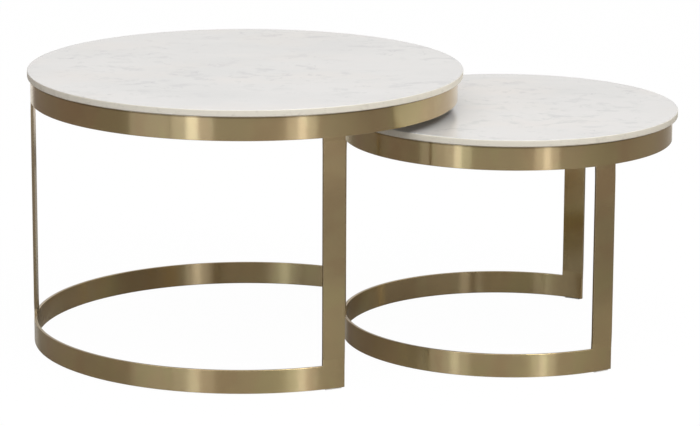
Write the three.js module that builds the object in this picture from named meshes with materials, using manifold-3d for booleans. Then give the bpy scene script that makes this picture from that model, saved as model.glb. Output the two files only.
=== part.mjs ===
// A pair of round nesting tables: a marble disc on a flat-bar brass hoop, three flat-bar legs
// and a C-shaped base arc, made twice. The small table slides in under the large one, through
// the open side of its base arc.
//
// Millimetres, +Z up. The origin is on the floor, under the middle of the set's bounding box.
// +X points from the closed side of the base arcs to their open side.

import * as THREE from 'three';
import { mergeVertices } from 'three/addons/utils/BufferGeometryUtils.js';
import Module from 'manifold-3d';

const wasm = await Module();
wasm.setup();

// ---- driving dimensions, shared by both tables ----
const BAR_WIDTH = 40;             // flat bar stock: hoop, arc and legs
const BAR_THICKNESS = 5;
const MARBLE_THICKNESS = 12;
const MARBLE_EASE = 2;            // radius worked on both edges of the marble
const MARBLE_OVERHANG = 7;        // mean distance of the marble's edge beyond the hoop
const MARBLE_SHIFT = 2;           // marble's centre off the hoop's, towards the open side
const SHADOW_GAP = 1;             // air between the hoop's top edge and the marble
const FLOOR_GAP = 1.5;            // the glides hold the base arc this far off the floor
const FIT_GAP = 0.3;              // gap left between pieces that touch

// ---- driving dimensions of each table ----
const LARGE = {
  name: 'large',
  radius: 375,                    // marble
  height: 480,
  endLegAngle: 64.6,              // degrees from +X to the two legs at the arc's ends
  turn: 0,                        // degrees that the table is turned on the floor
};
const SMALL = {
  name: 'small',
  radius: 292,
  height: 410,
  endLegAngle: 59.2,
  turn: 2,
};
const CENTRE_STEP = 456;          // small table's centre beyond the large one's, along X
const CENTRE_SIDESTEP = 22;       // and along Y

// ---- fixings that hold the marble down ----
const BRACKETS_PER_TABLE = 4;
const BRACKET_WIDTH = 24;
const BRACKET_THICKNESS = 3;
const SCREW_INSET = 16;           // screw axis in from the hoop's inside face
const SCREW_HOLE_RADIUS = 3;
const SCREW_SHANK_RADIUS = 2.4;
const SCREW_HEAD_RADIUS = 4.8;
const SCREW_HEAD_HEIGHT = 2.8;
const SCREW_DEPTH = 7;            // shank length inside the marble
const SOCKET_RADIUS = 1.7;        // hexagon socket, over its corners
const SOCKET_DEPTH = 1.6;
const BUMPER_RADIUS = 8;
const BUMPER_STACK = 3;           // from the bracket's top to the marble's underside
const INSERT_RADIUS = 4;
const INSERT_BORE = 2.7;
const INSERT_LENGTH = 8;
const INSERT_RECESS = 0.8;        // the insert stops this far inside the marble

// ---- floor glides ----
const GLIDE_LENGTH = 30;
const GLIDE_WIDTH = 4;

// ---- facets ----
const RING_SEGMENTS = 120;
const ARC_SEGMENTS = 72;
const HARDWARE_SEGMENTS = 12;
const EASE_SEGMENTS = 2;

// ---- materials ----
const marble = new THREE.MeshStandardMaterial({ color: 0xe3e0db, roughness: 0.25, metalness: 0 });
const brass = new THREE.MeshStandardMaterial({ color: 0xa8935f, roughness: 0.35, metalness: 1 });
const steel = new THREE.MeshStandardMaterial({ color: 0xb4b6b8, roughness: 0.4, metalness: 1 });
const rubber = new THREE.MeshStandardMaterial({ color: 0x2b2b2c, roughness: 0.8, metalness: 0 });
const nylon = new THREE.MeshStandardMaterial({ color: 0x8d8a84, roughness: 0.6, metalness: 0 });

// ---- helpers ----
const radians = THREE.MathUtils.degToRad;

function solid(geometry) {
  const bare = geometry.clone();
  bare.deleteAttribute('normal');
  bare.deleteAttribute('uv');
  const merged = mergeVertices(bare, 1e-4);
  const mesh = new wasm.Mesh({
    numProp: 3,
    vertProperties: new Float32Array(merged.attributes.position.array),
    triVerts: new Uint32Array(merged.index.array),
  });
  return new wasm.Manifold(mesh);
}

function surface(manifold) {
  const mesh = manifold.getMesh();
  const geometry = new THREE.BufferGeometry();
  geometry.setAttribute('position', new THREE.BufferAttribute(mesh.vertProperties, 3));
  geometry.setIndex(new THREE.BufferAttribute(mesh.triVerts, 1));
  geometry.computeVertexNormals();
  return geometry;
}

// A solid of revolution about +Z from (radius, height) pairs, listed from the bottom of the
// axis, out and up to its top, or anticlockwise round a closed section.
function turned(points, segments) {
  const profile = points.map(([radius, height]) => new THREE.Vector2(radius, height));
  const geometry = new THREE.LatheGeometry(profile, segments);
  return geometry.rotateX(Math.PI / 2);
}

function rod(radius, bottom, top, segments = HARDWARE_SEGMENTS) {
  return turned([[0, bottom], [radius, bottom], [radius, top], [0, top]], segments);
}

// A flat band of the given width, bent to a radius between two angles and extruded upwards.
function bentBand(outer, inner, from, to, height, segments) {
  const shape = new THREE.Shape();
  shape.absarc(0, 0, outer, from, to, false);
  shape.absarc(0, 0, inner, to, from, true);
  return new THREE.ExtrudeGeometry(shape, {
    depth: height,
    bevelEnabled: false,
    curveSegments: segments,
  });
}

function add(parent, name, geometry, material) {
  const mesh = new THREE.Mesh(geometry, material);
  mesh.name = name;
  parent.add(mesh);
  return mesh;
}

// ---- heights and radii that follow from a table's driving dimensions ----
function levels(table) {
  const marbleBottom = table.height - MARBLE_THICKNESS;
  const ringTop = marbleBottom - SHADOW_GAP;
  const ringOuter = table.radius - MARBLE_OVERHANG;
  const ringInner = ringOuter - BAR_THICKNESS;
  return {
    marbleBottom,
    ringTop,
    ringBottom: ringTop - BAR_WIDTH,
    ringOuter,
    ringInner,
    baseTop: FLOOR_GAP + BAR_WIDTH,
    bracketTop: marbleBottom - BUMPER_STACK,
    bracketBottom: marbleBottom - BUMPER_STACK - BRACKET_THICKNESS,
    screwRadius: ringInner - SCREW_INSET,
  };
}

function bracketAngles() {
  const angles = [];
  for (let i = 0; i < BRACKETS_PER_TABLE; i += 1) {
    angles.push((360 / BRACKETS_PER_TABLE) * i);
  }
  return angles;
}

// ---- marble disc with eased edges, and a blind hole over each bracket for its insert ----
function marbleTop(table) {
  const { marbleBottom, screwRadius } = levels(table);
  const top = table.height;
  const profile = [[0, marbleBottom]];
  for (let i = 0; i <= EASE_SEGMENTS; i += 1) {
    const angle = (Math.PI / 2) * (i / EASE_SEGMENTS);
    profile.push([
      table.radius - MARBLE_EASE + MARBLE_EASE * Math.sin(angle),
      marbleBottom + MARBLE_EASE - MARBLE_EASE * Math.cos(angle),
    ]);
  }
  for (let i = 0; i <= EASE_SEGMENTS; i += 1) {
    const angle = (Math.PI / 2) * (i / EASE_SEGMENTS);
    profile.push([
      table.radius - MARBLE_EASE + MARBLE_EASE * Math.cos(angle),
      top - MARBLE_EASE + MARBLE_EASE * Math.sin(angle),
    ]);
  }
  profile.push([0, top]);
  let body = solid(turned(profile, RING_SEGMENTS).translate(MARBLE_SHIFT, 0, 0));
  const holeTop = marbleBottom + INSERT_RECESS + INSERT_LENGTH + FIT_GAP;
  for (const angle of bracketAngles()) {
    const hole = rod(INSERT_RADIUS + FIT_GAP, marbleBottom - 1, holeTop);
    hole.translate(screwRadius, 0, 0).rotateZ(radians(angle));
    body = body.subtract(solid(hole));
  }
  return surface(body);
}

// ---- hoop under the marble: flat bar on edge, rolled and butt welded into a full ring ----
function topRing(table) {
  const { ringTop, ringBottom, ringOuter, ringInner } = levels(table);
  const section = [
    [ringInner, ringBottom],
    [ringOuter, ringBottom],
    [ringOuter, ringTop],
    [ringInner, ringTop],
    [ringInner, ringBottom],
  ];
  return turned(section, RING_SEGMENTS);
}

// ---- C-shaped base arc: it ends flush with the outer edges of the two end legs ----
function baseArc(table) {
  const { ringOuter, ringInner } = levels(table);
  const flush = Math.asin(BAR_WIDTH / 2 / ringOuter);
  const end = radians(table.endLegAngle) - flush;
  const geometry = bentBand(ringOuter, ringInner, end, 2 * Math.PI - end, BAR_WIDTH, ARC_SEGMENTS);
  return geometry.translate(0, 0, FLOOR_GAP);
}

// ---- leg: straight flat bar, tangent to the hoop, from the base arc up to the hoop ----
function leg(table, angle) {
  const { ringOuter, ringBottom, baseTop } = levels(table);
  const bottom = baseTop + FIT_GAP;
  const height = ringBottom - FIT_GAP - bottom;
  const geometry = new THREE.BoxGeometry(BAR_THICKNESS, BAR_WIDTH, height);
  geometry.translate(ringOuter - BAR_THICKNESS / 2, 0, bottom + height / 2);
  return geometry.rotateZ(radians(angle));
}

// ---- floor glide: a thin nylon strip stuck under the base arc, below a leg ----
function glide(table, angle) {
  const { ringOuter } = levels(table);
  const middle = ringOuter - BAR_THICKNESS / 2;
  const half = GLIDE_LENGTH / 2 / middle;
  const geometry = bentBand(
    middle + GLIDE_WIDTH / 2,
    middle - GLIDE_WIDTH / 2,
    -half,
    half,
    FLOOR_GAP - FIT_GAP,
    4,
  );
  return geometry.rotateZ(radians(angle));
}

// ---- fixings: bracket welded inside the hoop, bumper, screw and threaded insert ----
function bracket(table, angle) {
  const { ringInner, bracketBottom, screwRadius } = levels(table);
  const outer = ringInner - FIT_GAP;
  const half = BRACKET_WIDTH / 2;
  const spread = Math.asin(half / outer);
  const shape = new THREE.Shape();
  shape.absarc(0, 0, outer, -spread, spread, false);
  shape.absarc(screwRadius, 0, half, Math.PI / 2, (Math.PI * 3) / 2, false);
  const hole = new THREE.Path();
  hole.absarc(screwRadius, 0, SCREW_HOLE_RADIUS, 0, Math.PI * 2, true);
  shape.holes.push(hole);
  const geometry = new THREE.ExtrudeGeometry(shape, {
    depth: BRACKET_THICKNESS,
    bevelEnabled: false,
    curveSegments: HARDWARE_SEGMENTS / 2,
  });
  return geometry.translate(0, 0, bracketBottom).rotateZ(radians(angle));
}

function bumper(table, angle) {
  const { marbleBottom, bracketTop, screwRadius } = levels(table);
  const bottom = bracketTop + FIT_GAP;
  const top = marbleBottom - FIT_GAP;
  const section = [
    [SCREW_HOLE_RADIUS, bottom],
    [BUMPER_RADIUS, bottom],
    [BUMPER_RADIUS, top],
    [SCREW_HOLE_RADIUS, top],
    [SCREW_HOLE_RADIUS, bottom],
  ];
  const geometry = turned(section, HARDWARE_SEGMENTS);
  return geometry.translate(screwRadius, 0, 0).rotateZ(radians(angle));
}

function screw(table, angle) {
  const { marbleBottom, bracketBottom, screwRadius } = levels(table);
  const seat = bracketBottom - FIT_GAP;
  const face = seat - SCREW_HEAD_HEIGHT;
  const profile = [
    [0, face],
    [SCREW_HEAD_RADIUS * 0.7, face],
    [SCREW_HEAD_RADIUS * 0.93, face + SCREW_HEAD_HEIGHT * 0.35],
    [SCREW_HEAD_RADIUS, seat],
    [SCREW_SHANK_RADIUS, seat],
    [SCREW_SHANK_RADIUS, marbleBottom + SCREW_DEPTH],
    [0, marbleBottom + SCREW_DEPTH],
  ];
  const socket = rod(SOCKET_RADIUS, face - 1, face + SOCKET_DEPTH, 6);
  const body = solid(turned(profile, HARDWARE_SEGMENTS)).subtract(solid(socket));
  return surface(body).translate(screwRadius, 0, 0).rotateZ(radians(angle));
}

function threadedInsert(table, angle) {
  const { marbleBottom, screwRadius } = levels(table);
  const bottom = marbleBottom + INSERT_RECESS;
  const top = bottom + INSERT_LENGTH;
  const section = [
    [INSERT_BORE, bottom],
    [INSERT_RADIUS, bottom],
    [INSERT_RADIUS, top],
    [INSERT_BORE, top],
    [INSERT_BORE, bottom],
  ];
  const geometry = turned(section, HARDWARE_SEGMENTS);
  return geometry.translate(screwRadius, 0, 0).rotateZ(radians(angle));
}

// ---- one whole table, standing on the floor round its own vertical axis ----
function makeTable(table) {
  const group = new THREE.Group();
  const { name } = table;
  add(group, `${name}_marble_top`, marbleTop(table), marble);
  add(group, `${name}_top_ring`, topRing(table), brass);
  add(group, `${name}_base_arc`, baseArc(table), brass);
  const legs = [
    ['closed_side', 180],
    ['front_end', -table.endLegAngle],
    ['back_end', table.endLegAngle],
  ];
  for (const [place, angle] of legs) {
    add(group, `${name}_leg_${place}`, leg(table, angle), brass);
    add(group, `${name}_glide_${place}`, glide(table, angle), nylon);
  }
  bracketAngles().forEach((angle, index) => {
    const number = index + 1;
    add(group, `${name}_top_bracket_${number}`, bracket(table, angle), brass);
    add(group, `${name}_bumper_${number}`, bumper(table, angle), rubber);
    add(group, `${name}_top_screw_${number}`, screw(table, angle), steel);
    add(group, `${name}_threaded_insert_${number}`, threadedInsert(table, angle), brass);
  });
  group.rotation.z = radians(table.turn);
  return group;
}

// ---- the set, centred on its own bounding box along X ----
const setLength = LARGE.radius + CENTRE_STEP + SMALL.radius;
const largeCentreX = LARGE.radius - setLength / 2 - MARBLE_SHIFT;

const group = new THREE.Group();
const largeTable = makeTable(LARGE);
largeTable.position.set(largeCentreX, 0, 0);
group.add(largeTable);
const smallTable = makeTable(SMALL);
smallTable.position.set(largeCentreX + CENTRE_STEP, CENTRE_SIDESTEP, 0);
group.add(smallTable);

export default group;
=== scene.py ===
"""A pair of round nesting tables: marble discs on brushed brass frames, in a plain pale studio."""

import math

import bmesh
import bpy
from mathutils import Euler, Matrix, Vector


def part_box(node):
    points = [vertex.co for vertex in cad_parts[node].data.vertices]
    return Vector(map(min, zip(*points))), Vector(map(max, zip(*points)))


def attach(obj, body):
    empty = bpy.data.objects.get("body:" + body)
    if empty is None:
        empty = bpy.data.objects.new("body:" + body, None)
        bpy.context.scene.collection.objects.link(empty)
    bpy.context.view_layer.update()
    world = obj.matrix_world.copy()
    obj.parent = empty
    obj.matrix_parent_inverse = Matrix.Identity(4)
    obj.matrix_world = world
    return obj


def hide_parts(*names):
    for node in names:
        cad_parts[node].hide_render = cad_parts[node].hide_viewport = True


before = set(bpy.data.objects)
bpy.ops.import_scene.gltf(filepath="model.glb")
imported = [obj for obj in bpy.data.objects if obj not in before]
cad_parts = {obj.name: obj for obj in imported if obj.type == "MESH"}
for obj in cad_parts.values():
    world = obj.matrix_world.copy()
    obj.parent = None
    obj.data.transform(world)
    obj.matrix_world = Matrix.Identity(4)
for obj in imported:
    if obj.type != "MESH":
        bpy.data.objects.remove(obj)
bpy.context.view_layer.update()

# ---------------------------------------------------------------- sizes, in metres
MM = 0.001
BAR_THICKNESS = 5 * MM
BAR_EDGE_RADIUS = 0.7 * MM      # broken edge of the flat bar
ARC_END_RADIUS = 1.0 * MM       # broken corner at the open ends of the base arcs
EDGE_STEPS = 4
BAR_SUPPORT = 0.35 * MM         # from a broken edge to the points that keep the flats flat
MARBLE_EDGE_RADIUS = 2.0 * MM
MARBLE_SUPPORT = 0.6 * MM
INSERT_CLEARANCE = 0.3 * MM     # round and above a threaded insert in its blind hole
WELD_OVERLAP = 1.0 * MM         # how far a leg's ground joint runs over its neighbour
WELD_PROUD = 0.04 * MM
WELD_TUCK = 0.15 * MM           # how far the very end of a leg is drawn in
WELD_DRESSED = (7 * MM, 11 * MM)  # length brushed crossways at a leg's top and bottom
WELD_BLEND = 26 * MM            # a leg takes up the hoop's curve over this length
ROLLING_WAVE = 0.08 * MM        # depth of the slight waviness left by rolling the bar
RING_STEPS = 360
DISC_STEPS = 288

LUG_HALF_WIDTH = 12 * MM
LUG_EDGE_RADIUS = 0.35 * MM
SCREW_HOLE_RADIUS = 3 * MM      # through a lug and through its bumper
BUMPER_EDGE_RADIUS = 0.5 * MM
SCREW_HEAD_HEIGHT = 2.8 * MM
SCREW_RADIUS = 2.4 * MM
SCREW_END_CHAMFER = 0.5 * MM
SCREW_PLAIN_SHANK = 1.5 * MM    # between the head and the first thread
THREAD_PITCH = 0.8 * MM
THREAD_DEPTH = 0.25 * MM
SOCKET_RADIUS = 1.7 * MM        # to the corners of the hexagon
SOCKET_DEPTH = 1.6 * MM
GLIDE_LENGTH = 30 * MM
GLIDE_HALF_WIDTH = 2 * MM
GLIDE_EDGE = 0.25 * MM
CUTTER_SPARE = 1 * MM           # how far a cutter reaches past the face that it opens

ROUND_STEPS = 32                # round screws and holes

TABLES = ("large", "small")
BRACKETS = (1, 2, 3, 4)
LEG_PLACES = ("closed_side", "front_end", "back_end")
# Kinds of face round a bar, stored on its vertices. The first kind marks the strip just below the marble,
# which is painted dark as the shade under the marble.
UNDER_MARBLE_SHADE, WIDE, EDGE, NARROW = -1.0, 0.0, 1.0, 2.0
UNDER_MARBLE_SHADE_DEPTH = (1.9 * MM, 2.7 * MM)  # the painted shade below the marble ends between these depths


# ---------------------------------------------------------------- mesh helpers
def new_object(name, bm, smooth=True):
    bmesh.ops.recalc_face_normals(bm, faces=bm.faces)
    mesh = bpy.data.meshes.new(name)
    bm.to_mesh(mesh)
    bm.free()
    for polygon in mesh.polygons:
        polygon.use_smooth = smooth
    obj = bpy.data.objects.new(name, mesh)
    bpy.context.scene.collection.objects.link(obj)
    return obj


def rounded_section(width, thickness, radius, inset=0.0):
    """Points (along width, along thickness, kind of face) round a bar's section with broken edges.
    Each flat has support points just inside its corners, so that smooth shading keeps it flat."""
    w = width / 2 - inset
    t = thickness / 2 - inset
    r = max(radius - inset, 0.05 * MM)
    points = []
    for corner, (sx, sy) in enumerate(((1, 1), (-1, 1), (-1, -1), (1, -1))):
        start = corner * math.pi / 2
        cx = sx * (w - r)
        cy = sy * (t - r)
        ring = []
        for i in range(EDGE_STEPS + 1):
            angle = start + math.pi / 2 * i / EDGE_STEPS
            ring.append((cx + r * math.cos(angle), cy + r * math.sin(angle), EDGE))
        end = start + math.pi / 2
        before, after = (WIDE, NARROW) if corner % 2 else (NARROW, WIDE)
        x, y, _ = ring[0]
        points.append((x + BAR_SUPPORT * math.sin(start), y - BAR_SUPPORT * math.cos(start), before))
        points += ring
        x, y, _ = ring[-1]
        points.append((x - BAR_SUPPORT * math.sin(end), y + BAR_SUPPORT * math.cos(end), after))
    return points


def with_painted_shade(section, top):
    """Marks the strip of a hoop's outer face that lies just below its top edge, where the shade under the
    marble is painted.
    """
    marked = []
    for i, (across, depth, kind) in enumerate(section):
        after = section[(i + 1) % len(section)]
        outer_face = depth > 0 and kind == WIDE
        if outer_face and across > 0:
            marked.append((across, depth, UNDER_MARBLE_SHADE))
            if after[0] < 0:
                marked.append((top - UNDER_MARBLE_SHADE_DEPTH[0], depth, UNDER_MARBLE_SHADE))
                marked.append((top - UNDER_MARBLE_SHADE_DEPTH[1], depth, WIDE))
        else:
            marked.append((across, depth, kind))
    return marked


def perimeter(points):
    """Running length round a closed section, one value more than it has points."""
    lengths = [0.0]
    for i, p in enumerate(points):
        q = points[(i + 1) % len(points)]
        lengths.append(lengths[-1] + math.hypot(q[0] - p[0], q[1] - p[1]))
    return lengths


def skin(name, rows, stations, around, kinds, closed=False, crossed=None):
    """A closed skin through rows of points, with uv along and around the bar in metres.

    crossed says, for a station, whether the bar was brushed crossways there."""
    bm = bmesh.new()
    uv = bm.loops.layers.uv.new("grain")
    kind_layer = bm.verts.layers.float.new("face_kind")
    verts = []
    for row in rows:
        made = [bm.verts.new(p) for p in row]
        for vert, value in zip(made, kinds):
            vert[kind_layer] = value
        verts.append(made)
    count = len(rows[0])
    spans = len(rows) if closed else len(rows) - 1
    for i in range(spans):
        j = (i + 1) % len(rows)
        u0 = stations[i]
        u1 = stations[i + 1]
        cross = crossed is not None and crossed((u0 + u1) / 2)
        for k in range(count):
            m = (k + 1) % count
            face = bm.faces.new((verts[i][k], verts[j][k], verts[j][m], verts[i][m]))
            coords = ((u0, around[k]), (u1, around[k]), (u1, around[k + 1]), (u0, around[k + 1]))
            for loop, (u, v) in zip(face.loops, coords):
                loop[uv].uv = (v, u) if cross else (u, v)
    if not closed:
        for row, flip in ((verts[0], False), (verts[-1], True)):
            face = bm.faces.new(row if flip else row[::-1])
            for loop in face.loops:
                offset = loop.vert.co - row[0].co
                loop[uv].uv = (offset.z, math.hypot(offset.x, offset.y))
    return new_object(name, bm)


def rolling_wave(angle, seed):
    """Out-of-round error of a rolled bar, in metres."""
    return ROLLING_WAVE / 3 * (
        math.sin(7 * angle + seed) + math.sin(13 * angle + 2.1 * seed) + math.sin(23 * angle + 3.7 * seed)
    )


def bar_section(width, inset, closed):
    """Section of a bent bar. Only a closed one, a hoop, has the strip of painted shade below the marble.
    """
    section = rounded_section(width, BAR_THICKNESS, BAR_EDGE_RADIUS, inset)
    return with_painted_shade(section, width / 2) if closed else section


def bent_bar(name, centre, middle_radius, width, bottom, start, sweep, seed):
    """Flat bar on edge, bent to a circle. A sweep of a full turn makes a hoop."""
    closed = sweep >= 2 * math.pi - 1e-6
    steps = max(8, round(RING_STEPS * sweep / (2 * math.pi)))
    plan = [(sweep * i / steps, 0.0) for i in range(steps if closed else steps + 1)]
    if not closed:
        plan = broken_ends(plan, sweep, middle_radius)
    rows = []
    stations = []
    for turned, inset in plan:
        angle = start + turned
        out = Vector((math.cos(angle), math.sin(angle), 0))
        radius = middle_radius + rolling_wave(angle, seed)
        section = bar_section(width, inset, closed)
        middle = Vector((centre.x, centre.y, bottom + width / 2))
        rows.append([middle + out * (radius + p[1]) + Vector((0, 0, p[0])) for p in section])
        stations.append(turned * middle_radius)
    if closed:
        stations.append(sweep * middle_radius)
    section = bar_section(width, 0.0, closed)
    return skin(name, rows, stations, perimeter(section), [p[2] for p in section], closed)


def broken_ends(plan, sweep, radius):
    """Replaces a bar's two square ends by ends with a small radius, as (angle, inset) pairs."""
    corner = []
    for i in range(EDGE_STEPS + 1):
        angle = math.pi / 2 * i / EDGE_STEPS
        back = ARC_END_RADIUS * (1 - math.sin(angle)) / radius
        corner.append((back, ARC_END_RADIUS * (1 - math.cos(angle))))
    cap = (0.0, ARC_END_RADIUS + 0.4 * MM)
    reach = ARC_END_RADIUS * 1.5 / radius
    inner = [p for p in plan if reach < p[0] < sweep - reach]
    first = [cap] + corner[::-1] + [(reach, 0.0)]
    last = [(sweep - reach, 0.0)] + [(sweep - b, i) for b, i in corner] + [(sweep, cap[1])]
    return first + inner + last


def leg_bar(name, centre, angle, outer_radius, width, bottom, top):
    """Straight flat bar, tangent to the hoop, with both ends ground flush into their neighbours."""
    out = Vector((math.cos(angle), math.sin(angle), 0))
    side = Vector((-math.sin(angle), math.cos(angle), 0))
    low = bottom - WELD_OVERLAP
    high = top + WELD_OVERLAP
    offsets = [0, 0.4, 0.8, 1.6, 3, 5, 7, 9, 11, 14, 18, 22, 26]    # close together at the ends
    heights = [low + o * MM for o in offsets]
    shaft = 12                      # steps between the two ends
    for i in range(1, shaft):
        heights.append(low + WELD_BLEND + (high - low - 2 * WELD_BLEND) * i / shaft)
    heights += [high - o * MM for o in reversed(offsets)]
    section = fill_flats(rounded_section(width, BAR_THICKNESS, BAR_EDGE_RADIUS), 6)
    rows = []
    for height in heights:
        near_end = min(height - low, high - height)
        share = max(0.0, 1 - near_end / WELD_BLEND)
        curve = share * share * (3 - 2 * share)
        tucked = near_end < 0.2 * MM
        proud = -WELD_TUCK if tucked else WELD_PROUD * (near_end < 4 * MM)
        row = []
        for across, depth, _ in section:
            sagitta = outer_radius - math.sqrt(outer_radius**2 - across**2)
            grow = proud if depth > 0 else -proud
            radial = outer_radius - BAR_THICKNESS / 2 + depth + grow - curve * sagitta
            row.append(Vector((centre.x, centre.y, height)) + out * radial + side * across)
        rows.append(row)
    stations = [h - low for h in heights]
    dressed_low = WELD_OVERLAP + WELD_DRESSED[1]
    dressed_high = high - low - WELD_OVERLAP - WELD_DRESSED[0]
    return skin(
        name, rows, stations, perimeter(section), [p[2] for p in section],
        crossed=lambda station: station < dressed_low or station > dressed_high,
    )


def fill_flats(section, parts):
    """Adds evenly spaced points on the long flats of a section."""
    filled = []
    for i, p in enumerate(section):
        q = section[(i + 1) % len(section)]
        filled.append(p)
        if math.hypot(q[0] - p[0], q[1] - p[1]) > 10 * MM:
            for k in range(1, parts):
                share = k / parts
                x = p[0] + (q[0] - p[0]) * share
                y = p[1] + (q[1] - p[1]) * share
                filled.append((x, y, WIDE))
    return filled


def turned_part(name, profile, place=(0, 0), steps=ROUND_STEPS):
    """A solid of revolution about the upright axis through place. A profile that starts and
    ends on the axis is a plain solid, and any other is closed on itself."""
    bm = bmesh.new()
    uv = bm.loops.layers.uv.new("grain")
    on_axis = profile[0][0] < 1e-9 and profile[-1][0] < 1e-9
    columns = []
    poles = {}
    for i in range(steps):
        angle = 2 * math.pi * i / steps
        column = []
        for k, (radius, height) in enumerate(profile):
            if radius < 1e-9:
                if k not in poles:
                    poles[k] = bm.verts.new((place[0], place[1], height))
                column.append(poles[k])
            else:
                x = place[0] + radius * math.cos(angle)
                y = place[1] + radius * math.sin(angle)
                column.append(bm.verts.new((x, y, height)))
        columns.append(column)
    spans = len(profile) - 1 if on_axis else len(profile)
    for i in range(steps):
        here = columns[i]
        there = columns[(i + 1) % steps]
        for k in range(spans):
            m = (k + 1) % len(profile)
            corners = [here[k], there[k], there[m], here[m]]
            unique = list(dict.fromkeys(corners))
            face = bm.faces.new(unique)
            for loop in face.loops:
                offset = loop.vert.co - Vector((place[0], place[1], 0))
                loop[uv].uv = (i / steps * 0.1, math.hypot(offset.x, offset.y) + offset.z)
    return new_object(name, bm)


def cut_away(obj, cutters):
    """Cuts each cutter out of obj and removes the cutters."""
    for cutter in cutters:
        modifier = obj.modifiers.new("cut", "BOOLEAN")
        modifier.operation = "DIFFERENCE"
        modifier.solver = "EXACT"
        modifier.object = cutter
    bpy.context.view_layer.update()
    evaluated = obj.evaluated_get(bpy.context.evaluated_depsgraph_get())
    mesh = bpy.data.meshes.new_from_object(evaluated)
    obj.modifiers.clear()
    old = obj.data
    mesh.name = old.name
    obj.data = mesh
    bpy.data.meshes.remove(old)
    for cutter in cutters:
        bpy.data.objects.remove(cutter)
    return obj


def sharpen(obj, degrees=35):
    """Marks edges above an angle as sharp, for parts with true corners."""
    bm = bmesh.new()
    bm.from_mesh(obj.data)
    for edge in bm.edges:
        if len(edge.link_faces) == 2 and edge.calc_face_angle(0) > math.radians(degrees):
            edge.smooth = False
    bm.to_mesh(obj.data)
    bm.free()
    return obj


def quarter(centre_radius, centre_height, radius, start, steps):
    """Profile points (radius, height) on a quarter circle that starts at an angle in degrees."""
    points = []
    for i in range(steps + 1):
        angle = math.radians(start + 90 * i / steps)
        points.append((centre_radius + radius * math.cos(angle), centre_height + radius * math.sin(angle)))
    return points


# ---------------------------------------------------------------- material helpers
def new_material(name):
    material = bpy.data.materials.new(name)
    material.use_nodes = True
    material.node_tree.nodes.clear()
    output = material.node_tree.nodes.new("ShaderNodeOutputMaterial")
    shader = material.node_tree.nodes.new("ShaderNodeBsdfPrincipled")
    material.node_tree.links.new(shader.outputs["BSDF"], output.inputs["Surface"])
    return material, material.node_tree, shader


def node(tree, kind, inputs=None, **settings):
    made = tree.nodes.new("ShaderNode" + kind)
    for key, value in settings.items():
        setattr(made, key, value)
    for key, value in (inputs or {}).items():
        if isinstance(value, bpy.types.NodeSocket):
            tree.links.new(value, made.inputs[key])
        else:
            made.inputs[key].default_value = value
    return made


def math_node(tree, operation, a, b=0.0, clamp=False):
    return node(tree, "Math", {0: a, 1: b}, operation=operation, use_clamp=clamp).outputs[0]


def mapped(tree, vector, scale, turn=(0, 0, 0), shift=(0, 0, 0)):
    made = node(tree, "Mapping", {"Vector": vector, "Location": shift, "Rotation": turn, "Scale": scale})
    return made.outputs["Vector"]


def noise(tree, vector, scale, detail=2.0, roughness=0.5, distortion=0.0):
    inputs = {
        "Vector": vector, "Scale": scale, "Detail": detail,
        "Roughness": roughness, "Distortion": distortion,
    }
    return node(tree, "TexNoise", inputs).outputs["Fac"]


def between(tree, value, low, high, to_low=0.0, to_high=1.0, smooth=False):
    inputs = {"Value": value, "From Min": low, "From Max": high, "To Min": to_low, "To Max": to_high}
    kind = "SMOOTHSTEP" if smooth else "LINEAR"
    return node(tree, "MapRange", inputs, interpolation_type=kind, clamp=True).outputs["Result"]


def mix_colour(tree, share, a, b):
    made = node(tree, "Mix", {0: share}, data_type="RGBA", blend_type="MIX")
    for index, value in ((6, a), (7, b)):
        if isinstance(value, bpy.types.NodeSocket):
            tree.links.new(value, made.inputs[index])
        else:
            made.inputs[index].default_value = (*value, 1.0)
    return made.outputs[2]


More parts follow.
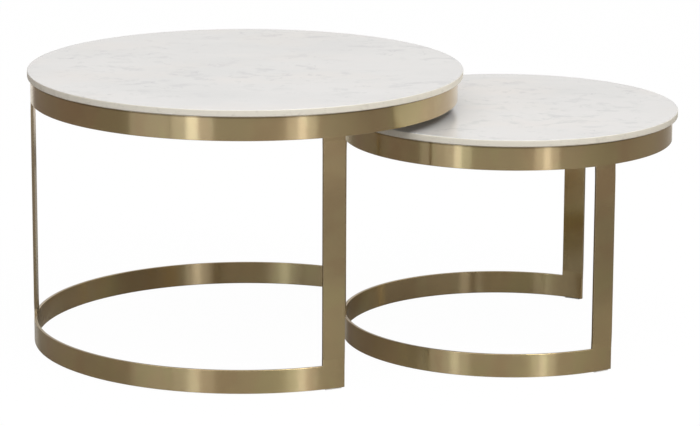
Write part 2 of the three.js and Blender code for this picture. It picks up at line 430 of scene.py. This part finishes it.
# ---------------------------------------------------------------- materials
def brushed_brass():
    """Antique brass flat bar, brushed along its length and lacquered."""
    material, tree, shader = new_material("brushed_antique_brass")
    grain_map = node(tree, "UVMap", uv_map="grain").outputs["UV"]
    place = node(tree, "TexCoord").outputs["Object"]
    fine = noise(tree, mapped(tree, grain_map, (9, 2600, 1)), 1.0, 3.0, 0.6)
    coarse = noise(tree, mapped(tree, grain_map, (3, 620, 1), shift=(3.1, 0.7, 0)), 1.0, 2.0, 0.55)
    fine = math_node(tree, "MULTIPLY", fine, 0.65)
    coarse = math_node(tree, "MULTIPLY", coarse, 0.35)
    streaks = math_node(tree, "ADD", fine, coarse)
    patina = noise(tree, place, 9.0, 3.0, 0.55, 0.4)
    clouds = noise(tree, mapped(tree, place, (1, 1, 1), shift=(4.0, 1.5, 2.0)), 22.0, 2.0)
    bands = noise(tree, mapped(tree, grain_map, (13, 2, 1), shift=(0.4, 2.0, 0)), 1.0, 4.0, 0.65)
    stain = noise(tree, mapped(tree, grain_map, (11, 4, 1), shift=(6.3, 1.0, 0)), 1.0, 3.0, 0.6, 0.3)

    warm = (0.690, 0.535, 0.290)
    olive = (0.650, 0.525, 0.285)
    dull = (0.50, 0.39, 0.22)
    brown = (0.605, 0.445, 0.245)
    green = (0.640, 0.545, 0.280)
    # painted shade: dark colour for the strip of a hoop just below the marble
    shade_below_marble = (0.20, 0.15, 0.09)
    # a darker brass colour for the rounded edges
    darker_edge_colour = (0.55, 0.43, 0.26)
    # a darker brass colour for the narrow faces
    darker_narrow_face = (0.34, 0.27, 0.18)
    colour = mix_colour(tree, between(tree, patina, 0.36, 0.64), warm, olive)
    colour = mix_colour(tree, between(tree, streaks, 0.35, 0.75, 0.22, 0.0), colour, dull)
    colour = mix_colour(tree, between(tree, clouds, 0.52, 0.78, 0.0, 0.16), colour, dull)
    colour = mix_colour(tree, between(tree, bands, 0.48, 0.66, 0.0, 0.26), colour, dull)
    colour = mix_colour(tree, between(tree, stain, 0.51, 0.57, 0.0, 0.60, smooth=True), colour, brown)
    colour = mix_colour(tree, between(tree, stain, 0.47, 0.41, 0.0, 0.60, smooth=True), colour, green)

    # Painted shade: the strip of a hoop's outer face just below the marble is darkened, standing in for
    # the marble's shadow.
    kind = node(tree, "Attribute", attribute_name="face_kind").outputs["Fac"]
    painted_shade = math_node(tree, "MULTIPLY", kind, UNDER_MARBLE_SHADE, clamp=True)
    colour = mix_colour(tree, math_node(tree, "MULTIPLY", painted_shade, 0.75), colour, shade_below_marble)
    # The rounded edges of the bar are given a darker brass colour.
    from_edge = math_node(tree, "ABSOLUTE", math_node(tree, "SUBTRACT", kind, EDGE))
    edge = math_node(tree, "SUBTRACT", 1.0, from_edge, clamp=True)
    colour = mix_colour(tree, math_node(tree, "MULTIPLY", edge, 0.30), colour, darker_edge_colour)
    # The narrow faces of the bar are given a darker, rougher brass.
    narrow = math_node(tree, "SUBTRACT", kind, EDGE, clamp=True)
    colour = mix_colour(tree, math_node(tree, "MULTIPLY", narrow, 0.80), colour, darker_narrow_face)
    tree.links.new(colour, shader.inputs["Base Color"])

    rough = between(tree, streaks, 0.3, 0.7, 0.185, 0.215)
    rough = math_node(tree, "ADD", rough, between(tree, patina, 0.3, 0.7, -0.01, 0.015))
    rough = math_node(tree, "ADD", rough, math_node(tree, "MULTIPLY", narrow, 0.12))
    tree.links.new(rough, shader.inputs["Roughness"])

    lines = node(tree, "Bump", {"Strength": 0.07, "Distance": 0.05 * MM, "Height": streaks})
    tree.links.new(lines.outputs["Normal"], shader.inputs["Normal"])
    tangent = node(tree, "Tangent", direction_type="UV_MAP", uv_map="grain").outputs["Tangent"]
    tree.links.new(tangent, shader.inputs["Tangent"])
    shader.inputs["Metallic"].default_value = 1.0
    shader.inputs["Anisotropic"].default_value = 1.0
    shader.inputs["Anisotropic Rotation"].default_value = 0.25
    shader.inputs["Coat Weight"].default_value = 0.30
    shader.inputs["Coat Roughness"].default_value = 0.15
    return material


def white_marble():
    """White marble with soft grey patches, short veins and fine crystal, polished on top."""
    material, tree, shader = new_material("white_marble")
    place = node(tree, "TexCoord").outputs["Object"]
    normal = node(tree, "NewGeometry").outputs["Normal"]
    upright = node(tree, "SeparateXYZ", {0: normal}).outputs["Z"]
    flat_share = between(tree, math_node(tree, "ABSOLUTE", upright), 0.35, 0.9)

    wander = node(tree, "TexNoise", {"Vector": place, "Scale": 9.0, "Detail": 3.0}).outputs["Color"]
    wander = node(tree, "VectorMath", {0: wander, 1: (0.04, 0.04, 0.04)}, operation="MULTIPLY").outputs[0]
    warped = node(tree, "VectorMath", {0: place, 1: wander}, operation="ADD").outputs[0]
    clouds = noise(tree, mapped(tree, warped, (3.0, 5.0, 4.0), turn=(0, 0, 0.35)), 1.0, 4.0, 0.6)
    blush = noise(tree, mapped(tree, warped, (5.0, 7.0, 4.0), shift=(2.0, 5.0, 1.0)), 1.0, 3.0)
    density = noise(tree, mapped(tree, warped, (4.0, 5.0, 6.0), shift=(9.0, 3.0, 0.0)), 1.0, 2.0, 0.5)
    density = between(tree, density, 0.38, 0.62, smooth=True)
    patches = noise(tree, mapped(tree, warped, (23.0, 29.0, 25.0), turn=(0, 0, 0.2)), 1.0, 5.0, 0.62, 0.3)
    patches = math_node(tree, "MULTIPLY", between(tree, patches, 0.52, 0.66, smooth=True), density)
    wisps = noise(tree, mapped(tree, warped, (23.0, 27.0, 22.0), turn=(0, 0, 0.25)), 1.0, 4.0, 0.6, 0.5)
    ridge = math_node(tree, "ABSOLUTE", math_node(tree, "SUBTRACT", wisps, 0.5))
    ridge = between(tree, ridge, 0.0, 0.030, 1.0, 0.0, smooth=True)
    breaks = noise(tree, mapped(tree, warped, (30.0, 38.0, 30.0), shift=(1.0, 7.0, 2.0)), 1.0, 2.0, 0.5)
    veins = math_node(tree, "MULTIPLY", ridge, between(tree, breaks, 0.53, 0.66, smooth=True))
    veins = math_node(tree, "MULTIPLY", veins, math_node(tree, "ADD", density, 0.25, clamp=True))
    crystal = noise(tree, place, 620.0, 2.0, 0.7)

    white = (0.635, 0.630, 0.620)
    grey = (0.550, 0.553, 0.549)
    warm = (0.67, 0.625, 0.58)
    patch_grey = (0.49, 0.495, 0.495)
    vein_grey = (0.38, 0.39, 0.40)
    crystal_grey = (0.60, 0.59, 0.58)
    # painted light: colour for the upright sides, lighter and creamier than the top
    lit_side_cream = (0.82, 0.765, 0.63)
    pit_brown = (0.50, 0.46, 0.38)
    colour = mix_colour(tree, between(tree, clouds, 0.42, 0.72, 0.0, 0.60), white, grey)
    colour = mix_colour(tree, between(tree, blush, 0.5, 0.75, 0.0, 0.50), colour, warm)
    colour = mix_colour(tree, math_node(tree, "MULTIPLY", patches, 0.66), colour, patch_grey)
    colour = mix_colour(tree, math_node(tree, "MULTIPLY", veins, 0.45), colour, vein_grey)
    colour = mix_colour(tree, between(tree, crystal, 0.3, 0.7, 0.0, 0.10), colour, crystal_grey)
    # Painted light: the upright sides are painted lighter and creamier than the top, standing in for the
    # light that falls on them. They are also rougher and carry brown pits.
    lit_side = mix_colour(tree, 0.75, colour, lit_side_cream)
    pits = noise(tree, mapped(tree, place, (1, 1, 1.8), shift=(0.0, 3.0, 6.0)), 75.0, 4.0, 0.65)
    lit_side = mix_colour(tree, between(tree, pits, 0.56, 0.72, 0.0, 0.45), lit_side, pit_brown)
    colour = mix_colour(tree, flat_share, lit_side, colour)
    tree.links.new(colour, shader.inputs["Base Color"])

    polish = between(tree, crystal, 0.3, 0.7, 0.11, 0.16)
    rough = math_node(tree, "ADD", polish, between(tree, flat_share, 0.0, 1.0, 0.30, 0.0))
    tree.links.new(rough, shader.inputs["Roughness"])
    relief = node(tree, "Bump", {"Strength": 0.06, "Distance": 0.1 * MM, "Height": crystal})
    tree.links.new(relief.outputs["Normal"], shader.inputs["Normal"])
    shader.inputs["IOR"].default_value = 1.49
    return material


def turned_metal(name, colour, roughness):
    """Machined hardware metal with fine turning marks."""
    material, tree, shader = new_material(name)
    place = node(tree, "TexCoord").outputs["Object"]
    marks = noise(tree, mapped(tree, place, (300, 300, 4200)), 1.0, 2.0)
    dark = tuple(c * 0.72 for c in colour)
    tree.links.new(mix_colour(tree, marks, dark, colour), shader.inputs["Base Color"])
    tree.links.new(between(tree, marks, 0.3, 0.7, roughness - 0.05, roughness + 0.08),
                   shader.inputs["Roughness"])
    relief = node(tree, "Bump", {"Strength": 0.15, "Distance": 0.05 * MM, "Height": marks})
    tree.links.new(relief.outputs["Normal"], shader.inputs["Normal"])
    shader.inputs["Metallic"].default_value = 1.0
    return material


def matt_polymer(name, colour, roughness):
    """Rubber or nylon with a slight moulded mottle."""
    material, tree, shader = new_material(name)
    place = node(tree, "TexCoord").outputs["Object"]
    mottle = noise(tree, place, 900.0, 3.0, 0.6)
    pale = tuple(min(1.0, c * 1.35) for c in colour)
    tree.links.new(mix_colour(tree, mottle, colour, pale), shader.inputs["Base Color"])
    tree.links.new(between(tree, mottle, 0.3, 0.7, roughness - 0.06, roughness + 0.06),
                   shader.inputs["Roughness"])
    relief = node(tree, "Bump", {"Strength": 0.2, "Distance": 0.05 * MM, "Height": mottle})
    tree.links.new(relief.outputs["Normal"], shader.inputs["Normal"])
    return material


MATERIALS = {
    "brass": brushed_brass(),
    "marble": white_marble(),
    "zinc_steel": turned_metal("zinc_screw_steel", (0.56, 0.57, 0.60), 0.34),
    "insert_brass": turned_metal("insert_brass", (0.62, 0.48, 0.22), 0.36),
    "rubber": matt_polymer("black_rubber", (0.03, 0.03, 0.03), 0.75),
    "nylon": matt_polymer("clear_nylon", (0.62, 0.61, 0.58), 0.5),
}


# ---------------------------------------------------------------- the tables
def place_piece(obj, table, cad_node, slot):
    """Gives a detailed piece its finish and its body, and hides the CAD node that it stands for."""
    obj.data.materials.clear()
    obj.data.materials.append(MATERIALS[slot])
    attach(obj, f"{table}_table")
    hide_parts(cad_node)
    return obj


def centre_of(cad_node):
    low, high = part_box(cad_node)
    return (low + high) / 2


def drill(radius, bottom, top):
    """Profile of a plain round cutter."""
    return [(0, bottom), (radius, bottom), (radius, top), (0, top)]


def build_top(table):
    """Marble disc, with the blind holes that take the threaded inserts."""
    cad_node = f"{table}_marble_top"
    low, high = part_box(cad_node)
    radius = (high.y - low.y) / 2
    middle_of_disc = (low + high) / 2
    r = MARBLE_EDGE_RADIUS
    support = MARBLE_SUPPORT
    profile = [(0, low.z), (radius * 0.5, low.z), (radius - r - support, low.z)]
    profile += quarter(radius - r, low.z + r, r, -90, 6)
    profile += [(radius, low.z + r + support), (radius, high.z - r - support)]
    profile += quarter(radius - r, high.z - r, r, 0, 6)
    profile += [(radius - r - support, high.z), (radius * 0.75, high.z), (radius * 0.5, high.z)]
    profile += [(radius * 0.25, high.z), (0, high.z)]
    obj = turned_part(f"{table}_marble_disc", profile, (middle_of_disc.x, middle_of_disc.y), DISC_STEPS)
    holes = []
    for number in BRACKETS:
        insert_low, insert_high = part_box(f"{table}_threaded_insert_{number}")
        middle = (insert_low + insert_high) / 2
        hole_radius = (insert_high.x - insert_low.x) / 2 + INSERT_CLEARANCE
        hole = drill(hole_radius, low.z - CUTTER_SPARE, insert_high.z + INSERT_CLEARANCE)
        holes.append(turned_part("hole", hole, (middle.x, middle.y)))
    cut_away(obj, holes)
    sharpen(obj, 50)
    return place_piece(obj, table, cad_node, "marble")


def build_frame(table, centre, seed):
    """Hoop, base arc and legs of brushed flat bar."""
    ring_low, ring_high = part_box(f"{table}_top_ring")
    outer = (ring_high.y - ring_low.y) / 2
    width = ring_high.z - ring_low.z
    middle = outer - BAR_THICKNESS / 2
    ring = bent_bar(f"{table}_brass_hoop", centre, middle, width, ring_low.z, 0.3, 2 * math.pi, seed)
    place_piece(ring, table, f"{table}_top_ring", "brass")

    angles = {}
    for place in LEG_PLACES:
        offset = centre_of(f"{table}_leg_{place}") - centre
        angles[place] = math.atan2(offset.y, offset.x)
    flush = math.asin(width / 2 / outer)
    start = angles["back_end"] - flush
    end = angles["front_end"] + flush + 2 * math.pi
    arc_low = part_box(f"{table}_base_arc")[0]
    arc = bent_bar(f"{table}_brass_base", centre, middle, width, arc_low.z, start, end - start, seed + 1)
    place_piece(arc, table, f"{table}_base_arc", "brass")

    for place in LEG_PLACES:
        leg = leg_bar(f"{table}_brass_leg_{place}", centre, angles[place], outer, width,
                      arc_low.z + width, ring_low.z)
        place_piece(leg, table, f"{table}_leg_{place}", "brass")


def build_bracket(table, number, centre, ring_inner):
    """Welded lug: square at the hoop, round at its free end, with a screw hole."""
    cad_node = f"{table}_top_bracket_{number}"
    low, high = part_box(cad_node)
    screw = centre_of(f"{table}_threaded_insert_{number}")
    out = Vector((screw.x - centre.x, screw.y - centre.y, 0))
    reach = out.length
    out.normalize()
    side = Vector((-out.y, out.x, 0))
    half = LUG_HALF_WIDTH
    steps = 20
    outline = []
    spread = math.asin(half / ring_inner)
    for i in range(9):
        angle = -spread + 2 * spread * i / 8
        outline.append((ring_inner * math.cos(angle), ring_inner * math.sin(angle)))
    for i in range(steps + 1):
        angle = math.pi / 2 + math.pi * i / steps
        outline.append((reach + half * math.cos(angle), half * math.sin(angle)))
    bm = bmesh.new()
    base = [bm.verts.new(Vector((centre.x, centre.y, low.z)) + out * x + side * y) for x, y in outline]
    face = bm.faces.new(base)
    raised = bmesh.ops.extrude_face_region(bm, geom=[face])
    moved = [v for v in raised["geom"] if isinstance(v, bmesh.types.BMVert)]
    bmesh.ops.translate(bm, verts=moved, vec=(0, 0, high.z - low.z))
    uv = bm.loops.layers.uv.new("grain")
    for f in bm.faces:
        for loop in f.loops:
            offset = loop.vert.co - centre
            loop[uv].uv = (offset.dot(side), offset.dot(out) + offset.z)
    obj = new_object(f"{table}_brass_lug_{number}", bm)
    hole = drill(SCREW_HOLE_RADIUS, low.z - CUTTER_SPARE, high.z + CUTTER_SPARE)
    cut_away(obj, [turned_part("hole", hole, (screw.x, screw.y))])
    bevel = obj.modifiers.new("broken_edges", "BEVEL")
    bevel.width = LUG_EDGE_RADIUS
    bevel.segments = 2
    bevel.limit_method = "ANGLE"
    bevel.angle_limit = math.radians(40)
    sharpen(obj)
    return place_piece(obj, table, cad_node, "brass")


def build_fixings(table, number):
    """Bumper washer, dome-headed socket screw and threaded insert at one bracket."""
    low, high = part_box(f"{table}_bumper_{number}")
    place = ((low.x + high.x) / 2, (low.y + high.y) / 2)
    r = BUMPER_EDGE_RADIUS
    outer = (high.x - low.x) / 2
    inner = SCREW_HOLE_RADIUS
    profile = quarter(outer - r, low.z + r, r, -90, 4) + quarter(outer - r, high.z - r, r, 0, 4)
    profile += quarter(inner + r, high.z - r, r, 90, 4) + quarter(inner + r, low.z + r, r, 180, 4)
    bumper = turned_part(f"{table}_rubber_bumper_{number}", profile, place, 40)
    place_piece(bumper, table, f"{table}_bumper_{number}", "rubber")

    low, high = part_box(f"{table}_top_screw_{number}")
    head = (high.x - low.x) / 2
    seat = low.z + SCREW_HEAD_HEIGHT
    rim = 0.15 * MM
    profile = [(0, low.z)]
    for i in range(8):
        angle = math.radians(10 + 80 * i / 8)
        profile.append((head * math.sin(angle), low.z + SCREW_HEAD_HEIGHT * (1 - math.cos(angle))))
    profile += [(head, seat - rim), (head - rim, seat), (SCREW_RADIUS, seat)]
    threads = 16
    for i in range(threads):
        base = seat + SCREW_PLAIN_SHANK + i * THREAD_PITCH
        if base + THREAD_PITCH > high.z:
            break
        profile += [(SCREW_RADIUS, base), (SCREW_RADIUS - THREAD_DEPTH, base + THREAD_PITCH / 2)]
    profile += [(SCREW_RADIUS, high.z - SCREW_END_CHAMFER)]
    profile += [(SCREW_RADIUS - SCREW_END_CHAMFER, high.z), (0, high.z)]
    screw = turned_part(f"{table}_socket_screw_{number}", profile, place)
    hexagon = drill(SOCKET_RADIUS, low.z - CUTTER_SPARE, low.z + SOCKET_DEPTH)
    cut_away(screw, [turned_part("hexagon", hexagon, place, 6)])
    sharpen(screw, 32)
    place_piece(screw, table, f"{table}_top_screw_{number}", "zinc_steel")

    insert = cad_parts[f"{table}_threaded_insert_{number}"]
    insert.data.materials.clear()
    insert.data.materials.append(MATERIALS["insert_brass"])


def build_glide(table, place, centre, middle_radius):
    """Nylon strip with round ends and soft edges, stuck under the base arc."""
    cad_node = f"{table}_glide_{place}"
    low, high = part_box(cad_node)
    offset = (low + high) / 2 - centre
    angle = math.atan2(offset.y, offset.x)
    width = GLIDE_HALF_WIDTH        # also the radius of the round ends
    plan = []                       # (along, half width) from one end to the other
    for i in range(9):
        t = math.pi / 2 * (8 - i) / 8
        plan.append((-GLIDE_LENGTH / 2 + width * (1 - math.sin(t)), width * math.cos(t)))
    for i in range(1, 8):
        plan.append((-GLIDE_LENGTH / 2 + width + (GLIDE_LENGTH - 2 * width) * i / 8, width))
    plan += [(-along, half) for along, half in plan[:9][::-1]]
    depth = high.z - low.z
    rows = []
    stations = []
    for along, half in plan:
        half = max(half, 0.05 * MM)
        turned = angle + along / middle_radius
        out = Vector((math.cos(turned), math.sin(turned), 0))
        middle = Vector((centre.x, centre.y, low.z)) + out * middle_radius
        soft = min(GLIDE_EDGE, half * 0.5)
        one_side = [(half - soft, 0), (half, soft), (half, depth)]
        section = one_side + [(-x, z) for x, z in reversed(one_side)]
        rows.append([middle + out * x + Vector((0, 0, z)) for x, z in section])
        stations.append(along)
    around = range(len(section) + 1)
    glide = skin(f"{table}_nylon_glide_{place}", rows, stations, around, [WIDE] * len(section))
    sharpen(glide)
    place_piece(glide, table, cad_node, "nylon")


def build_table(table, seed):
    """One table: top, frame, brackets with their fixings, and glides."""
    ring_low, ring_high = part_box(f"{table}_top_ring")
    centre = Vector(((ring_low.x + ring_high.x) / 2, (ring_low.y + ring_high.y) / 2, 0))
    outer = (ring_high.y - ring_low.y) / 2
    build_top(table)
    build_frame(table, centre, seed)
    for number in BRACKETS:
        build_bracket(table, number, centre, outer - BAR_THICKNESS)
        build_fixings(table, number)
    for place in LEG_PLACES:
        build_glide(table, place, centre, outer - BAR_THICKNESS / 2)


for order, table in enumerate(TABLES):
    build_table(table, 1.3 + 2.2 * order)


# ---------------------------------------------------------------- studio
# Brightness by compass direction, from the front by the left, the back and the right.
LOW_ROOM_TONES = [
    (0.000, (0.42, 0.41, 0.40)),
    (0.130, (0.40, 0.39, 0.38)),
    (0.190, (0.24, 0.21, 0.20)),
    (0.420, (0.24, 0.20, 0.19)),
    (0.432, (0.80, 0.79, 0.78)),
    (0.560, (0.80, 0.79, 0.78)),
    (0.600, (0.46, 0.45, 0.44)),
    (0.720, (0.36, 0.35, 0.34)),
    (0.800, (0.26, 0.24, 0.23)),
    (0.870, (0.40, 0.39, 0.38)),
    (1.000, (0.42, 0.41, 0.40)),
]
HIGH_ROOM_TONES = [
    (0.000, (1.45, 1.44, 1.43)),
    (0.080, (1.40, 1.38, 1.36)),
    (0.180, (0.36, 0.33, 0.32)),
    (0.500, (0.50, 0.49, 0.48)),
    (0.650, (0.55, 0.54, 0.53)),
    (0.710, (1.45, 1.43, 1.41)),
    (1.000, (1.45, 1.44, 1.43)),
]
FLOOR_TONES = [
    (0.000, (0.27, 0.257, 0.24)),
    (0.150, (0.27, 0.257, 0.24)),
    (0.185, (0.235, 0.20, 0.185)),
    (0.850, (0.235, 0.20, 0.185)),
    (0.889, (0.27, 0.257, 0.24)),
    (1.000, (0.27, 0.257, 0.24)),
]
NEAR_FLOOR_TONE = (0.26, 0.245, 0.225)
MIDDLE_FLOOR_TONE = (0.175, 0.163, 0.148)
NEAR_FLOOR = (0.80, 1.10)       # distance over which the near tone gives way to the middle one
MIDDLE_FLOOR = (1.60, 1.95)     # distance over which that gives way to the others
PAPER_EDGES = (-1.47, 1.17, 1.35, 3.2)  # the white paper behind the tables: x and y limits
PAPER_FADE = (1.40, 2.00)       # y over which the paper goes from floor grey to white
PAPER_TONE = (0.88, 0.87, 0.85)


def by_compass(tree, vector, tones):
    """Colour by the compass direction of a vector."""
    parts = node(tree, "SeparateXYZ", {0: vector})
    compass = math_node(tree, "ARCTAN2", parts.outputs["X"], parts.outputs["Y"])
    ramp = node(tree, "ValToRGB", {"Fac": between(tree, compass, -math.pi, math.pi)})
    elements = ramp.color_ramp.elements
    while len(elements) < len(tones):
        elements.new(0.5)
    for element, (position, colour) in zip(elements, tones):
        element.position = position
        element.color = (*colour, 1.0)
    return ramp.outputs["Color"]


def build_world():
    world = bpy.data.worlds.new("studio")
    world.use_nodes = True
    tree = world.node_tree
    tree.nodes.clear()
    direction = node(tree, "TexCoord").outputs["Generated"]
    height = node(tree, "SeparateXYZ", {0: direction}).outputs["Z"]
    low = by_compass(tree, direction, LOW_ROOM_TONES)
    high = by_compass(tree, direction, HIGH_ROOM_TONES)
    colour = mix_colour(tree, between(tree, height, 0.40, 0.60, smooth=True), low, high)
    background = node(tree, "Background", {"Color": colour, "Strength": 1.0})
    output = node(tree, "OutputWorld")
    tree.links.new(background.outputs[0], output.inputs["Surface"])
    bpy.context.scene.world = world


def panel(name, corners):
    bm = bmesh.new()
    bm.faces.new([bm.verts.new(c) for c in corners])
    return new_object(name, bm, smooth=False)


def level(x0, x1, y0, y1, z):
    return [(x0, y0, z), (x1, y0, z), (x1, y1, z), (x0, y1, z)]


def plain(name, colour, glow=0.0):
    """Matt stage paint, with a share of its own light."""
    material, tree, shader = new_material(name)
    shader.inputs["Base Color"].default_value = (*colour, 1.0)
    shader.inputs["Roughness"].default_value = 1.0
    shader.inputs["Specular IOR Level"].default_value = 0.0
    shader.inputs["Emission Color"].default_value = (1, 1, 1, 1)
    shader.inputs["Emission Strength"].default_value = glow
    return material


def reflected_floor_material():
    """Grey, slightly glossy floor, with tones by distance and compass direction."""
    material, tree, shader = new_material("grey_floor")
    place = node(tree, "TexCoord").outputs["Object"]
    distance = node(tree, "VectorMath", {0: place}, operation="LENGTH").outputs["Value"]
    far = between(tree, distance, *MIDDLE_FLOOR, smooth=True)
    away = between(tree, distance, *NEAR_FLOOR, smooth=True)
    tones = mix_colour(tree, far, MIDDLE_FLOOR_TONE, by_compass(tree, place, FLOOR_TONES))
    tones = mix_colour(tree, away, NEAR_FLOOR_TONE, tones)
    tree.links.new(tones, shader.inputs["Base Color"])
    shader.inputs["Roughness"].default_value = 0.2
    shader.inputs["IOR"].default_value = 2.2
    return material


def paper_material():
    """Matt paper that goes from floor grey to white away from the tables."""
    material, tree, shader = new_material("white_paper")
    place = node(tree, "TexCoord").outputs["Object"]
    back = node(tree, "SeparateXYZ", {0: place}).outputs["Y"]
    fade = between(tree, back, *PAPER_FADE, smooth=True)
    tree.links.new(mix_colour(tree, fade, MIDDLE_FLOOR_TONE, PAPER_TONE), shader.inputs["Base Color"])
    shader.inputs["Roughness"].default_value = 1.0
    return material


def build_stage():
    """The camera sees a near-white floor and wall. The tables reflect, and are lit by, a greyer
    floor just below it, with white paper behind them."""
    seen = panel("floor_seen", level(-30, 30, -30, 30, -0.5 * MM))
    seen.data.materials.append(plain("pale_floor", (0.02, 0.02, 0.02), 0.98))
    wall = turned_part("wall_seen", [(28, -0.1), (28.2, -0.1), (28.2, 30), (28, 30)], steps=96)
    wall.data.materials.append(plain("pale_wall", (0, 0, 0), 0.99))
    for obj in (seen, wall):
        obj.visible_glossy = False
        obj.visible_diffuse = False
        obj.visible_transmission = False
        obj.visible_shadow = False

    reflected = panel("floor_reflected", level(-30, 30, -30, 30, -1.5 * MM))
    reflected.data.materials.append(reflected_floor_material())
    paper = panel("paper_reflected", level(*PAPER_EDGES, -1.0 * MM))
    paper.data.materials.append(paper_material())
    for obj in (reflected, paper):
        obj.visible_camera = False


def soft_box(name, place, target, size, radiance, colour=(1, 1, 1)):
    """Rectangular area light of a given radiance, facing its target."""
    data = bpy.data.lights.new(name, "AREA")
    data.shape = "RECTANGLE"
    data.size, data.size_y = size
    data.energy = radiance * math.pi * size[0] * size[1]
    data.color = colour
    obj = bpy.data.objects.new(name, data)
    obj.location = place
    obj.rotation_euler = (Vector(target) - Vector(place)).to_track_quat("-Z", "Y").to_euler()
    obj.visible_camera = False
    bpy.context.scene.collection.objects.link(obj)
    return obj


SOFT_BOXES = {                  # place, target, size and radiance
    "overhead": ((0.0, -0.3, 3.2), (0.0, 0.0, 0.0), (5.0, 5.0), 0.46),
    "key_left": ((-1.9, -0.6, 2.9), (0.0, 0.0, 0.4), (0.9, 0.9), 1.6),
    "key_right": ((1.4, -2.4, 3.0), (0.1, 0.0, 0.4), (1.2, 1.2), 8.5),
}
STRIP_HEIGHT = 2.3
STRIP_MIDDLE = STRIP_HEIGHT / 2 + 0.02  # the upright lights stand 20 mm off the floor
STRIP_COLOUR = (0.90, 0.97, 1.10)
STRIPS = {                      # place on the floor, scale of width, scale of brightness
    "left": (-0.884, -1.655, 1.0, 0.95),
    "right": (1.57, -2.98, 1.45, 1.15),
}
# Name, width, radiance and how far behind the strip's place each part stands.
STRIP_PARTS = (("core", 0.18, 1.0, 0.0), ("halo", 0.66, 0.5, 0.03))
WING_PLACE = (-1.62, -1.42, STRIP_MIDDLE)   # a fainter upright light left of the strips
WING_TARGET = (-0.3, -0.2, STRIP_MIDDLE)
WING_WIDTH = 0.75
WING_RADIANCE = 0.30


def build_lights():
    for name, (place, target, size, radiance) in SOFT_BOXES.items():
        soft_box(name, place, target, size, radiance)
    for side, (x, y, scale, bright) in STRIPS.items():
        away = Vector((x, y, 0)).normalized()
        for name, width, radiance, back in STRIP_PARTS:
            place = (x + away.x * back, y + away.y * back, STRIP_MIDDLE)
            soft_box(f"strip_{side}_{name}", place, (0, 0, STRIP_MIDDLE), (width * scale, STRIP_HEIGHT),
                     radiance * bright, STRIP_COLOUR)
    soft_box("wing", WING_PLACE, WING_TARGET, (WING_WIDTH, STRIP_HEIGHT), WING_RADIANCE, STRIP_COLOUR)


CAMERA_PLACE = (-0.0054, -5.601, 1.5405)
CAMERA_PITCH = 13.245           # degrees below the horizon
CAMERA_ROLL = 0.267             # degrees
CAMERA_LENS = 170.0             # mm on a 36 mm sensor


def build_camera():
    data = bpy.data.cameras.new("camera")
    data.lens = CAMERA_LENS
    data.sensor_width = 36.0
    data.clip_start = 0.1
    data.clip_end = 100.0
    camera = bpy.data.objects.new("camera", data)
    camera.location = CAMERA_PLACE
    pitch = Euler((math.radians(90 - CAMERA_PITCH), 0, 0)).to_matrix()
    roll = Matrix.Rotation(math.radians(CAMERA_ROLL), 3, "Z")
    camera.rotation_euler = (pitch @ roll).to_euler()
    bpy.context.scene.collection.objects.link(camera)
    bpy.context.scene.camera = camera


build_world()
build_stage()
build_lights()
build_camera()
bpy.context.scene.view_settings.view_transform = "Standard"
